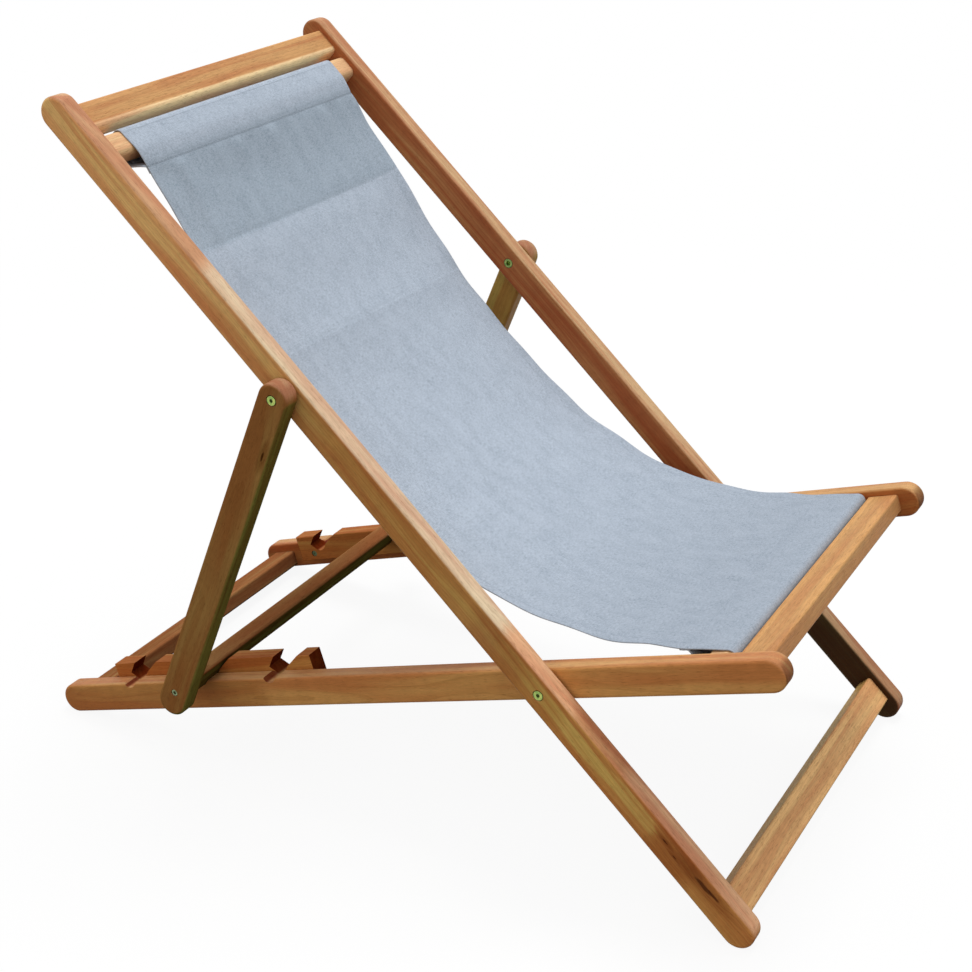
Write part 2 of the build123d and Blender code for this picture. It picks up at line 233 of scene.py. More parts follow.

# Tints laid over the timber, as linear light: redder and golder streaks, late wood, pores, knots, end grain
# deepened by painted shade, painted shade toward a foot, a golden vein and the heartwood beside it, painted shade
# on undersides and on sawn walls, and edges worn pale with a painted highlight
red_tint = (0.86, 0.60, 0.48, 1.0)
gold_tint = (1.10, 1.20, 1.05, 1.0)
late_tint = (0.66, 0.55, 0.46, 1.0)
pore_tint = (0.55, 0.44, 0.36, 1.0)
knot_tint = (0.22, 0.15, 0.09, 1.0)
end_grain_shade_tint = (0.32, 0.25, 0.20, 1.0)
foot_shade_tint = (0.098, 0.185, 0.152, 1.0)
vein_tint = (1.05, 1.18, 1.02, 1.0)
heart_tint = (0.92, 0.75, 0.64, 1.0)
ground_shade_tint = (0.50, 0.92, 0.62, 1.0)
groove_shade_tint = (0.36, 0.15, 0.09, 1.0)
worn_highlight_tint = (1.22, 1.22, 1.24, 1.0)

# Colours of the sapwood, paled further by a painted highlight, and of oiled sides that the sun has reached, and the
# way that a bleached face looks
sapwood_pale = (0.92, 0.68, 0.41, 1.0)
sun_gold = (0.94, 0.50, 0.222, 1.0)
sky_side = unit(np.array([0.0, -0.42, 0.91]))
ground_side = (0.0, 0.0, -1.0)


def timber(node, run, rise, section, seed, oiled, bleached, redness=0.5, **marks):
    """Solid wood, cut from a trunk whose pith runs beside the piece. Growth rings are shells round the pith,
    bent by slow noise; late wood is the dark end of each ring; colour streaks follow the rings; pores are short
    dark dashes along the grain. Faces turned to the sky are bleached, and the sides keep the oil's colour. Marks
    are what this piece has besides, in millimetres from its middle, and each is told where it is laid on. Gloss
    is how much the oil shines, and end_sun how far the sun has bleached the end grain."""
    wood = Finish(f"{node}_timber", IOR=1.45, Specular_IOR_Level=marks.get("gloss", oil_gloss))
    along, deep, wide = wood.lengths(centre_of(node), run, rise, np.cross(run, rise))
    rng = np.random.default_rng(seed)
    pith_angle, pith_far = rng.uniform(0, 2 * pi), rng.uniform(pith_nearest, pith_farthest)
    lean = rng.uniform(-pith_lean, pith_lean)
    shift = float(rng.uniform(0, seed_spread))
    bend = wood.cloud(along / wander_length + shift, deep / wander_width, wide / wander_width, 1.5) * wander
    from_pith_deep = deep + along * lean + float(pith_far * np.cos(pith_angle))
    from_pith_wide = wide + float(pith_far * sin(pith_angle))
    radius = (from_pith_deep**2.0 + from_pith_wide**2.0) ** 0.5 + bend
    # Knots, each with its place along, its height and its size: the rings bend round it, and its rim frays
    knot_dark = halo = 0.0
    for place, height, size in marks.get("knots", ()):
        far = ((along - place) / (knot_length * size)) ** 2.0 + ((deep - height) / size) ** 2.0
        radius = radius + (far * -0.2).math("EXPONENT") * (size * 1.6)
        frayed = wood.cloud(along / fray_length, deep / fray_height, wide / fray_width, 3.0) * 1.2
        knot_dark = (far + frayed).ramp(*knot_rim) + knot_dark
        halo = (far + frayed * 4.0).ramp(*halo_rim).math("MAXIMUM", halo)
    ring = radius / ring_width + wood.cloud(radius / crowding_width, shift, 0.0, 1.0) * crowding
    late = ring.math("FRACT") ** 4.0
    streak = wood.cloud(along / streak_length, radius / streak_width, shift, 2.5, 0.55)
    zone = wood.cloud(along / zone_length, deep / zone_width + shift, wide / zone_width, 2.0)
    fibre = wood.cloud(along / fibre_length, deep / fibre_width, wide / fibre_width + shift, 3.0, 0.6)
    pore = wood.cloud(along / pore_length + shift, deep / pore_width, wide / pore_width, 1.0).ramp(0.60, 0.72)
    fleck = wood.cloud(along / fleck_length, deep / fleck_width + shift, wide / fleck_width, 2.0, 0.6)
    figure = wood.cloud(along / figure_length, deep / figure_width, wide / figure_width + shift, 1.0)
    facing = wood.node("ShaderNodeTexCoord", output="Normal")
    bare = wood.towards(facing, sky_side).ramp(*sky_turn) * 0.9 + zone * 0.1
    end = wood.towards(facing, run).size().ramp(*end_turn)
    half_deep, half_wide = (side * millimetres / 2 for side in section)
    rubbed_highlit = (deep.size() / half_deep).ramp(*rubbed_highlit_deep) * (wide.size() / half_wide).ramp(*rubbed_highlit_wide)
    rubbed_highlit = rubbed_highlit * zone.ramp(0.25, 0.7)
    drift = along + zone * stretch_drift - stretch_drift / 2

    def stretch(first, last):
        """Share of a stretch along the piece, with soft ends that drift with the grain."""
        starts = drift.ramp(first - stretch_end, first + stretch_end)
        return starts * drift.ramp(last + stretch_end, last - stretch_end, 0.0, 0.9)

    # Faded: from where to where along the piece its sides turn to gold, and how far. Faces and sides: stretches
    # of these with a colour of their own, each with its two ends
    pale, dark = (*bleached, 1.0), (*oiled, 1.0)
    if "faded" in marks:
        dark = wood.mix((along + zone * 60.0).ramp(*marks["faded"]), dark, sun_gold)
    for first, last, tone in marks.get("faces", ()):
        pale = wood.mix(stretch(first, last), pale, tone)
    for first, last, tone in marks.get("sides", ()):
        dark = wood.mix(stretch(first, last), dark, tone)
    colour = wood.mix(bare, dark, pale)
    # Vein: a golden band between redder heartwood on the sides, with its height, half width and two ends
    if "vein" in marks:
        height, half_width, low, high = marks["vein"]
        drifting = wood.cloud(along / vein_drift_length + shift, 0.0, 3.0, 2.0) * vein_drift - vein_drift / 2
        frayed = wood.cloud(along / vein_fray_length, deep / vein_fray_height, shift, 3.0)
        frayed = frayed * vein_fray - vein_fray / 2
        inside = (deep - height + drifting + frayed).size().ramp(half_width + vein_edge, half_width - vein_edge)
        inside = inside * (along + frayed * 7.0).ramp(low - vein_start, low + vein_start)
        inside = inside * along.ramp(high + vein_stop, high - vein_stop)
        banded = wood.mix(inside, heart_tint, vein_tint)
        begins, ends, full, faint = vein_fainter
        strength = (1.0 - bare.math("MINIMUM", 0.9)) * along.ramp(low + begins, low + ends, full, faint)
        colour = wood.mix(strength, colour, banded, "MULTIPLY")
    # Sapwood: how far out across the piece the pale wood begins, which a painted highlight pales further
    if "sapwood" in marks:
        outer = wide + zone * sapwood_drift - sapwood_drift / 2
        outer = outer.ramp(marks["sapwood"] - 1.5, marks["sapwood"] + 1.0)
        colour = wood.mix(outer * 0.85, colour, sapwood_pale)
    red = wood.mix((streak * 0.7 + zone * 0.5).ramp(0.50, 0.72), red_tint, gold_tint)
    colour = wood.mix(0.35 + 0.65 * redness, colour, red, "MULTIPLY")
    colour = wood.mix(late * (0.10 + zone * 0.45), colour, late_tint, "MULTIPLY")
    colour = wood.mix(pore * 0.6, colour, pore_tint, "MULTIPLY")
    # End grain is darker, and painted shade deepens it further.
    colour = wood.mix(end * (1.0 - bare * marks.get("end_sun", 0.85)), colour, end_grain_shade_tint, "MULTIPLY")
    # Grooved: the stretch whose sawn walls across the grain are darkened by painted shade
    if "grooved" in marks:
        first, last = marks["grooved"]
        walls = wood.towards(facing, run).size().ramp(*wall_turn) * along.ramp(first - sawn_end, first)
        colour = wood.mix(walls * along.ramp(last + sawn_end, last), colour, groove_shade_tint, "MULTIPLY")
    # Under: how dark painted shade makes the faces turned to the ground
    if "under" in marks:
        below = wood.towards(facing, ground_side).ramp(*ground_turn) * marks["under"]
        colour = wood.mix(below, colour, ground_shade_tint, "MULTIPLY")
    # Edges worn pale: partly wear and partly a painted highlight.
    colour = wood.mix(rubbed_highlit * 0.7, colour, worn_highlight_tint, "MULTIPLY")
    if "knots" in marks:
        colour = wood.mix(halo * 0.85, colour, late_tint, "MULTIPLY")
        colour = wood.mix(knot_dark * 0.9, colour, knot_tint, "MULTIPLY")
    # Foot shade: from where to where along the piece painted shade darkens its inner side, and how far
    if "foot_shade" in marks:
        inner = wood.towards(facing, across * -np.sign(centre_of(node)[0])).ramp(*inner_turn)
        foot_shade = (along + zone * 30.0).ramp(*marks["foot_shade"]) * (0.25 + inner * 0.75)
        colour = wood.mix(foot_shade, colour, foot_shade_tint, "MULTIPLY")
    colour = wood.shade(colour, 0.64 + fibre * 0.22 + figure * 0.14 + fleck * 0.36)
    rough = 0.40 + fibre * 0.16 + end * 0.16 + rubbed_highlit * 0.08 - late * 0.05
    height = fibre * 0.5 + late * 0.35 - pore * 0.9
    wood.show(Base_Color=colour, Roughness=rough, Normal=wood.relief(height, grain_depth, 0.55))
    wood.cover(node)


rail_section = (rail_depth, rail_thickness)
seat_tan = (0.62, 0.33, 0.155)
seat_brown = (0.67, 0.31, 0.102)
seat_painted_shade = (0.52, 0.216, 0.062, 1.0)
far_seat_red = (0.42, 0.135, 0.038)
# Painted shade darkens the sawn walls of the grooves.
groove_reach = 130.0
block_middle = float((centre_of("notch_block_right") - centre_of("seat_rail_right")) @ seat_run) * millimetres
seat_marks = {"grooved": (block_middle - groove_reach, block_middle + groove_reach), "end_sun": 0.3}
timber("seat_rail_left", seat_run, seat_rise, rail_section, 11, far_seat_red, seat_tan, 0.7, **seat_marks)
# Painted shade darkens the near rail's sides toward the rear, under the back and the cloth.
seat_marks["sides"] = ((170.0, 600.0, seat_painted_shade),)
timber("seat_rail_right", seat_run, seat_rise, rail_section, 12, seat_brown, seat_tan, **seat_marks)

# Notch blocks: one length of the same hardwood screwed inside each seat rail, sawn with three slanting slots that
# hold the prop frame's bar. Their grain runs along the rail.
block_section = (0.038, 0.024)
block_red = (0.56, 0.240, 0.070)
block_top = (0.50, 0.23, 0.10)
# Painted shade darkens the sawn walls of the notches.
block_marks = {"grooved": (-200.0, 200.0), "gloss": 0.0}
for node, seed in (("notch_block_left", 21), ("notch_block_right", 22)):
    timber(node, seat_run, seat_rise, block_section, seed, block_red, block_top, 0.8, **block_marks)

# Boards of the seat frame: planed boards with stopped tenons, glued into the rails at the front and at the rear.
# The front one is well bleached, and the rear one lies in the chair's own shade, which is painted into its colour.
board_section = (0.022, 0.022)
front_tan = (0.582, 0.304, 0.123)
rear_shaded_red = (0.080, 0.029, 0.013)
rear_top = (0.38, 0.185, 0.080)
timber("seat_front_board", across, seat_rise, board_section, 31, front_tan, front_tan, 0.0)
timber("seat_rear_board", across, seat_rise, board_section, 32, rear_shaded_red, rear_top, 0.8, gloss=0.0)

# Sling bars: square bars of pale timber with well rounded edges, tenoned into the rails. The cloth's pockets slide
# over them before the frames are glued up.
bar_section = (0.030, 0.030)
pale_tan = (0.84, 0.55, 0.31)
back_run = unit(prop_pivot - seat_pivot)
back_rise = square_to(back_run)
timber("sling_bar_front", across, seat_rise, bar_section, 41, pale_tan, pale_tan, 0.1)
timber("sling_bar_top", across, back_rise, bar_section, 42, pale_tan, pale_tan, 0.1)

# Back frame: two rails like the seat's, with a board across the head and one across the foot that the chair
# stands on. Both boards are stub tenoned and glued. The sun has bleached the upper half most, and a painted sheen
# makes the near rail's sitter face paler still, most in its middle stretch.
near_gold = (0.575, 0.283, 0.083)
near_tan = (0.80, 0.45, 0.28)
foot_gold = (0.68, 0.370, 0.125, 1.0)
painted_sheen_pale = (0.76, 0.60, 0.45, 1.0)
shade_tan = (0.60, 0.33, 0.20, 1.0)
red_tan = (0.66, 0.30, 0.155, 1.0)
red_brown = (0.47, 0.195, 0.055, 1.0)
back_middle = float((centre_of("back_rail_right") - seat_pivot) @ back_run) * millimetres


def from_pivot(*places):
    """Places along the back rail counted from its middle, for places counted from the seat pivot: the pivot's
    distance from the middle is taken off each."""
    return [place - back_middle for place in places]


near_marks = {
    "knots": [
        (*from_pivot(-264.0), 7.0, 3.6),
        (*from_pivot(-279.0), 9.0, 2.2),
        (*from_pivot(-222.0), 2.0, 0.9),
        (*from_pivot(-203.0), 6.0, 1.2),
    ],
    "faded": (90.0, 420.0, 0.0, 0.90),
    "faces": [
        (*from_pivot(-125.0, -40.0), red_tan),
        # A painted sheen pales the middle stretch of the sitter's face.
        (*from_pivot(80.0, 590.0), painted_sheen_pale),
        (*from_pivot(590.0, 900.0), shade_tan),
    ],
    "sides": [
        (*from_pivot(-400.0, -30.0), foot_gold),
        (*from_pivot(-250.0, -190.0), red_brown),
        (*from_pivot(30.0, 110.0), red_brown),
    ],
    "vein": (4.0, 8.5, *from_pivot(-186.0, 900.0)),
}
timber("back_rail_right", back_run, back_rise, rail_section, 51, near_gold, near_tan, **near_marks)
far_red = (0.395, 0.134, 0.0495)
far_tan = (0.61, 0.37, 0.225)
# Painted shade darkens the far rail's inner side toward its foot.
far_marks = {"foot_shade": (-385.0, -415.0, 0.0, 0.92), "faded": (230.0, 420.0, 0.0, 0.17)}
timber("back_rail_left", back_run, back_rise, rail_section, 52, far_red, far_tan, 0.9, **far_marks)
head_tan = (0.585, 0.300, 0.132)
# The pale band along the head board's lower nose is sapwood with a painted highlight.
head_sapwood = 12.0
# Painted light: the foot board's face is made lighter to offset the seat's shadow over it.
foot_painted_light_tan = (0.79, 0.455, 0.210)
foot_edge = (0.52, 0.34, 0.115)
timber("head_board", across, back_rise, board_section, 61, head_tan, head_tan, 0.4, sapwood=head_sapwood)
timber("foot_board", across, back_rise, board_section, 62, foot_edge, foot_painted_light_tan, 0.25)

# Prop frame: two legs on the outside of the back rails, with one bar between their lower ends that drops into the
# notches. The bar is butted between the legs and held by one long screw at each end.
prop_run = unit(np.array([0.0, *(centre_of("prop_cross_bar") - prop_pivot)[1:]]))
prop_rise = square_to(prop_run)
leg_brown = (0.34, 0.168, 0.050)
leg_front = (0.53, 0.285, 0.175)
far_leg_gold = (0.41, 0.260, 0.068)
bar_red = (0.21, 0.105, 0.036)
bar_front = (0.44, 0.215, 0.092)
leg_middle = float((centre_of("prop_leg_right") - prop_pivot) @ prop_run) * millimetres
# Pieces in the chair's shade: no gloss, and painted shade on their faces turned to the ground.
in_shade = {"gloss": 0.0, "under": 0.9}
leg_knots = [(70.0 - leg_middle, -10.9, 1.8)]
cross_section = (0.030, 0.020)
timber("prop_leg_right", prop_run, prop_rise, rail_section, 71, leg_brown, leg_front, knots=leg_knots, **in_shade)
timber("prop_leg_left", prop_run, prop_rise, rail_section, 72, far_leg_gold, leg_front)
timber("prop_cross_bar", across, prop_run, cross_section, 73, bar_red, bar_front, 0.8, **in_shade)

# Fasteners: steel bolts in flanged steel sleeves at the pivots, washers between the rails, and wood screws, all
# zinc plated. The bolts and sleeves have a yellow-green passivated film, the washers a plain one, and the screws a
# darker one, which is painted shade from the recesses they are sunk in.
yellow_film = (0.52, 0.58, 0.16, 1.0)
green_film = (0.22, 0.37, 0.10, 1.0)
plain_zinc = (0.60, 0.60, 0.56, 1.0)
dull_zinc = (0.42, 0.42, 0.38, 1.0)
screw_shaded_film = (0.30, 0.36, 0.20, 1.0)
screw_shaded_dark = (0.10, 0.15, 0.08, 1.0)
socket_rim_shade = (0.10, 0.12, 0.06, 1.0)
socket_radius = 2.1
flange_radius = 6.4
film_drift = 3.0
speck_size = 0.25
turning_marks = 9.0
plating_depth = 0.00006


def zinc(node, first, second):
    """Zinc plate round an axis across the chair: the film's two colours drift into each other by slow noise, a sine
    of the distance from the axis gives fine turning marks, and painted shade darkens the key socket and the outer
    rim."""
    plate = Finish(f"{node}_plate", Metallic=1.0)
    x, y, z = plate.lengths(centre_of(node), *np.eye(3))
    drift = plate.cloud(x / film_drift, y / film_drift, z / film_drift, 2.0).ramp(0.3, 0.7)
    speck = plate.cloud(x / speck_size, y / speck_size, z / speck_size, 3.0)
    from_axis = (y**2.0 + z**2.0) ** 0.5
    shaded_rings = from_axis.ramp(socket_radius + 0.5, socket_radius - 0.4)
    shaded_rings = shaded_rings.math("MAXIMUM", from_axis.ramp(flange_radius - 1.3, flange_radius - 0.1) * 0.8)
    colour = plate.mix(shaded_rings, plate.mix(drift, first, second), socket_rim_shade)
    height = speck * 0.6 + (from_axis * turning_marks).math("SINE") * 0.15
    plate.show(Base_Color=colour, Roughness=0.24 + speck * 0.22, Normal=plate.relief(height, plating_depth, 0.5))
    plate.cover(node)


for side in ("left", "right"):
    for joint in ("seat_pivot", "prop_pivot"):
        zinc(f"{joint}_sleeve_{side}", yellow_film, green_film)
        zinc(f"{joint}_bolt_{side}", yellow_film, green_film)
        zinc(f"{joint}_washer_{side}", plain_zinc, dull_zinc)
    zinc(f"notch_block_screws_{side}", screw_shaded_film, screw_shaded_dark)
    zinc(f"prop_bar_screw_{side}", screw_shaded_film, screw_shaded_dark)

# Sling: one length of plain woven canvas. Its sides are turned under and stitched, and each end is folded into a
# pocket round a bar and stitched across. Between the bars it hangs in a slack curve with two old fold lines.
cloth_half_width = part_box("sling")[1][0]
cloth_thickness = 0.00075
layer_step = 0.0008
hem_turn = 0.016
fold_radius = layer_step / 2
pocket_half = 0.0168
pocket_ease = 0.008
seam_reach = 0.022
front_seam_rise = 0.006
top_seam_set = 0.0043
bar_half = 0.015
lap_length = 0.009
lap_ease = 0.003
strip_ease = 0.040
pocket_step = 0.0017
hang_step = 0.004
hang_evening = 0.050
hang_raise = 0.0045
sag_middles = ((0.083, 0.078), (0.26, 0.1645), (0.44, 0.176), (0.602, 0.149), (0.77, 0.097), (0.93, 0.032))
sag_ends = (
    (0.0, 0.0),
    (0.189, 0.140),
    (0.36, 0.1775),
    (0.52, 0.164),
    (0.681, 0.1255),
    (0.855, 0.059),
    (1.0, 0.0),
)
arc_steps = 25
corner_steps = 9


def flat_place(point):
    """A point of the chair as lengths along and above the seat rail, from the seat pivot."""
    offset = np.array(point) - seat_pivot
    return np.array([offset @ seat_run, offset @ seat_rise])


def corners_about(centre, run, rise, places):
    """Points beside a bar, each given along and above the rail that carries the bar."""
    base = flat_place(centre)
    flat_run = np.array([run @ seat_run, run @ seat_rise])
    flat_rise = np.array([rise @ seat_run, rise @ seat_rise])
    return [base + along * flat_run + above * flat_rise for along, above in places]


def rounded(points, radii):
    """Runs between points, with each inner corner replaced by a tangent arc of its own radius."""
    path = [points[0]]
    for before, corner, after, radius in zip(points, points[1:], points[2:], radii):
        first, second = unit(before - corner), unit(after - corner)
        half = acos(np.clip(first @ second, -1, 1)) / 2
        centre = corner + unit(first + second) * radius / sin(half)
        start, end = (corner + way * radius / tan(half) - centre for way in (first, second))
        turn = pi - 2 * half
        share = np.linspace(0, 1, corner_steps)[:, None]
        path.extend(centre + (np.sin((1 - share) * turn) * start + np.sin(share * turn) * end) / sin(turn))
    return np.array(path + [points[-1]])


def hanging(start, end):
    """The slack curve between two seams: parabolas through three points each, given as shares of the span, then
    evened by a running mean, and raised a little in the middle where the weave has drawn up."""
    span = end - start
    below = np.array([span[1], -span[0]])
    ends, middles = (
        [start + along * span + under * below for along, under in places] for places in (sag_ends, sag_middles)
    )
    share = np.linspace(0, 1, arc_steps)[1:, None]
    arcs = [
        (1 - share) * (1 - 2 * share) * first + 4 * share * (1 - share) * middle + share * (2 * share - 1) * last
        for first, middle, last in zip(ends, middles, ends[1:])
    ]
    curve = np.concatenate([[start], *arcs])
    reached = lengths_along(curve)
    even = np.arange(0, reached[-1], hang_step / 4)
    points = np.stack([np.interp(even, reached, curve[:, i]) for i in (0, 1)], axis=1)
    spread = int(hang_evening / hang_step * 2)
    padded = np.pad(points, ((spread, spread), (0, 0)), mode="reflect", reflect_type="odd")
    mean = np.ones(2 * spread + 1) / (2 * spread + 1)
    points = np.stack([np.convolve(padded[:, i], mean, "valid") for i in (0, 1)], axis=1)
    raised = hang_raise * np.sin(pi * even / reached[-1]) ** 2
    return points - raised[:, None] * unit(below)


def lengths_along(path):
    """Length walked along a path up to each of its points."""
    return np.concatenate([[0.0], np.cumsum(np.linalg.norm(np.diff(path, axis=0), axis=1))])


front_seam, front_low_rear, front_low, front_high = corners_about(
    centre_of("sling_bar_front"),
    seat_run,
    seat_rise,
    [
        (bar_half + seam_reach, bar_half + front_seam_rise),
        (pocket_half, -pocket_half),
        (-pocket_half, -pocket_half),
        (-pocket_half, pocket_half),
    ],
)
top_seam, top_near, top_far, top_far_low, top_near_low = corners_about(
    centre_of("sling_bar_top"),
    back_run,
    back_rise,
    [
        (-bar_half - seam_reach, bar_half - top_seam_set),
        (-pocket_half, pocket_half),
        (pocket_half, pocket_half),
        (pocket_half, -pocket_half),
        (-pocket_half, -pocket_half),
    ],
)
hang = hanging(front_seam, top_seam)
seam_stride = 6
front_way, top_way = unit(hang[seam_stride] - hang[0]), unit(hang[-1 - seam_stride] - hang[-1])
front_under = np.array([front_way[1], -front_way[0]])
top_under = np.array([-top_way[1], top_way[0]])
lap_depth = 1.6
lap_drop = lap_depth * layer_step
front_lap = [front_seam + front_way * lap_length + front_under * lap_drop, front_seam + front_under * lap_drop]
top_lap = [top_seam + top_under * lap_drop, top_seam + top_way * lap_length + top_under * lap_drop]
front_pocket = rounded(
    [*front_lap, front_low_rear, front_low, front_high, front_seam],
    [lap_ease, pocket_ease, pocket_ease, pocket_ease],
)
top_pocket = rounded(
    [top_seam, top_near, top_far, top_far_low, top_near_low, *top_lap],
    [strip_ease, pocket_ease, pocket_ease, pocket_ease, lap_ease],
)
cloth_path = np.concatenate([front_pocket, hang[1:], top_pocket[1:]])
path_lengths = lengths_along(cloth_path)
front_seam_length = lengths_along(front_pocket)[-1]
hang_length = lengths_along(hang)[-1]
top_seam_length = front_seam_length + hang_length
cloth_length = path_lengths[-1]
way_count = 4000
way_spread = 7
way_kept = 4
way_marks = np.linspace(0, cloth_length, way_count)
way_points = np.stack([np.interp(way_marks, path_lengths, cloth_path[:, i]) for i in (0, 1)], axis=1)
way_mean = np.ones(way_spread) / way_spread
way_smooth = np.stack([np.convolve(way_points[:, i], way_mean, "same") for i in (0, 1)], axis=1)
way_smooth[:way_kept], way_smooth[-way_kept:] = way_points[:way_kept], way_points[-way_kept:]
way_tangents = np.gradient(way_smooth, axis=0)
way_tangents /= np.linalg.norm(way_tangents, axis=1)[:, None]
way_inward = np.stack([way_tangents[:, 1], -way_tangents[:, 0]], axis=1)


def ripple(values, wavelengths, seed):
    """Sum of sines of several lengths, with fixed random phases; about 1 high."""
    phases = np.random.default_rng(seed).uniform(0, 2 * pi, len(wavelengths))
    waves = [np.sin(2 * pi * values / length + phase) for length, phase in zip(wavelengths, phases)]
    return sum(waves) / len(waves) ** 0.5


# Old folds across the cloth: place along the hang, how far its ends skew, height of the ridge, reach either way
folds = ((0.692, -0.0045, 0.0036, 0.028), (0.867, -0.003, -0.0085, 0.050))
fold_lines = [front_seam_length + share * hang_length for share, skew, ridge, reach in folds]
skew_reach = 0.06
# Heights of the cloth's unevenness, each with how far it reaches from where it is strongest
slow_height = 0.0012
loose_height, loose_reach = 0.0013, 0.022
top_flute_height, top_flute_reach = 0.0018, 0.075
front_flute_height, front_flute_reach = 0.0009, 0.07
curl_height, curl_reach = 0.0020, 0.009
corner_height, corner_in, corner_reach = 0.0016, 0.019, 0.009
corner_up, corner_rise = 0.016, 0.018
pucker_height, top_pucker_reach, front_pucker_reach = 0.0006, 0.0035, 0.010
hem_height, hem_slope = 0.0004, 0.004
stitch_sink, stitch_reach = 0.0003, 0.0016
drawn_in, drawn_reach = 0.0045, 0.045
settled_reach, started_reach = 0.05, 0.012
hem_row_set = hem_turn - 0.003


def skewed(x, s):
    """Length along the cloth, moved so that a straight row near an old fold lies along that fold."""
    for line, (share, skew, ridge, reach) in zip(fold_lines, folds):
        s = s + skew * x / cloth_half_width * np.exp(-(((s - line) / skew_reach) ** 2))
    return s


def swell(x, s):
    """How far the cloth stands off its plain curve: slow waves between the seams, flutes that fade away from each
    seam, puckers along the stitching, looser side edges that curl, raised hems, a dent by each top corner, and a
    sharp crest or valley along each old fold. Waves are sums of sines, and most fade as exponentials."""
    from_front, to_top = s - front_seam_length, top_seam_length - s
    side = np.abs(x)
    from_edge = cloth_half_width - side
    free = np.clip(np.minimum(from_front, to_top) / settled_reach, 0, 1)
    free = free * free * (3 - 2 * free)
    started = np.clip(np.minimum(from_front, to_top) / started_reach, 0, 1)
    slow = slow_height * ripple(x + 0.4 * s, (0.31, 0.19), 1) * ripple(s - 0.2 * x, (0.47, 0.26), 2)
    loose = loose_height * np.exp(-from_edge / loose_reach)
    loose = loose * ripple(s + 0.05 * np.sign(x), (0.118, 0.083, 0.21), 3)
    flutes = ripple(x, (0.058, 0.037, 0.091), 4) * np.exp(-np.abs(to_top) / top_flute_reach) * top_flute_height
    front_flutes = ripple(x, (0.066, 0.043, 0.105), 5) * np.exp(-np.abs(from_front) / front_flute_reach)
    flutes += front_flutes * front_flute_height
    curl = curl_height * np.exp(-from_edge / curl_reach) * (0.7 + 0.5 * ripple(s, (0.23, 0.37), 7))
    corner = np.exp(-(((corner_in - from_edge) / corner_reach) ** 2) - ((to_top - corner_up) / corner_rise) ** 2)
    pucker = np.exp(-((to_top / top_pucker_reach) ** 2)) + 0.9 * np.exp(-((from_front / front_pucker_reach) ** 2))
    pucker = -pucker_height * pucker * (1 + 0.4 * ripple(x, (0.0105, 0.0143), 6))
    middle = 1 - (side / cloth_half_width) ** 6
    bent = sum(
        ridge * middle * np.exp(-np.abs(s - line - skew * x / cloth_half_width) / reach)
        for line, (share, skew, ridge, reach) in zip(fold_lines, folds)
    )
    hem = np.clip((hem_turn + hem_slope / 2 - from_edge) / hem_slope, 0, 1)
    stitched = np.exp(-(((from_edge - hem_row_set) / stitch_reach) ** 2))
    free_part = free * (slow + loose + curl + bent + hem_height * hem - stitch_sink * stitched)
    return free_part + started * (flutes - corner_height * corner) + pucker


def on_cloth(x, s, depth):
    """Points of the cloth at a place across and a length along it, some depth under its outer face: its plain
    curve, less the swell along the curve's normal. The laps behind the strip keep to the swell of the cloth that
    they lie against, and between the seams the right edge is drawn in a little."""
    spot = np.stack([np.interp(s, way_marks, way_points[:, i]) for i in (0, 1)], axis=-1)
    inward = np.stack([np.interp(s, way_marks, way_inward[:, i]) for i in (0, 1)], axis=-1)
    front_lap = s < lap_length
    top_lap = s > cloth_length - lap_length
    against = np.where(front_lap, front_seam_length + lap_length - s, s)
    against = np.where(top_lap, top_seam_length - (s - cloth_length + lap_length), against)
    stood = swell(x, against) * np.where(front_lap | top_lap, -1, 1)
    hem = np.clip((np.abs(x) - cloth_half_width + hem_turn + hem_slope) / (2 * hem_slope), 0, 1)
    below_front = np.clip(lap_depth - s / lap_length, 0, 1)[..., None] * front_under
    below_top = np.clip(lap_depth - (cloth_length - s) / lap_length, 0, 1)[..., None] * top_under
    spot = spot + inward * (depth - stood)[..., None]
    spot = spot + (below_front + below_top) * (2 * layer_step * hem)[..., None]
    flat = seat_pivot + spot[..., :1] * seat_run + spot[..., 1:] * seat_rise
    drawn = np.clip((top_seam_length + drawn_reach - against) / drawn_reach, 0, 1)
    drawn = drawn * np.clip((against - front_seam_length) / settled_reach, 0, 1)
    drawn = drawn_in * drawn * ((cloth_half_width - x) / (2 * cloth_half_width)) ** 2
    return flat + (x + drawn)[..., None] * across


def patches(grid):
    """Four-cornered faces between the neighbours of each grid of numbered points."""
    return np.stack([grid[..., :-1, :-1], grid[..., :-1, 1:], grid[..., 1:, 1:], grid[..., 1:, :-1]], axis=-1)


def smooth_piece(name, points, faces):
    """Object with a smooth mesh of points and faces, linked to the scene at its origin."""
    mesh = bpy.data.meshes.new(name)
    mesh.from_pydata(points.reshape(-1, 3), [], faces)
    mesh.polygons.foreach_set("use_smooth", np.ones(len(mesh.polygons), bool))
    piece = bpy.data.objects.new(name, mesh)
    bpy.context.scene.collection.objects.link(piece)
    return piece


def surface(name, points, cut=None):
    """Mesh of one grid of points, with each point's place on the flat cut cloth as its map if given."""
    quads = patches(np.arange(points[..., 0].size).reshape(points.shape[:2])).reshape(-1, 4)
    piece = smooth_piece(name, points, quads)
    if cut is not None:
        layer = piece.data.uv_layers.new(name="cut")
        layer.data.foreach_set("uv", cut.reshape(-1, 2)[quads.ravel()].astype(np.float32).ravel())
    return piece


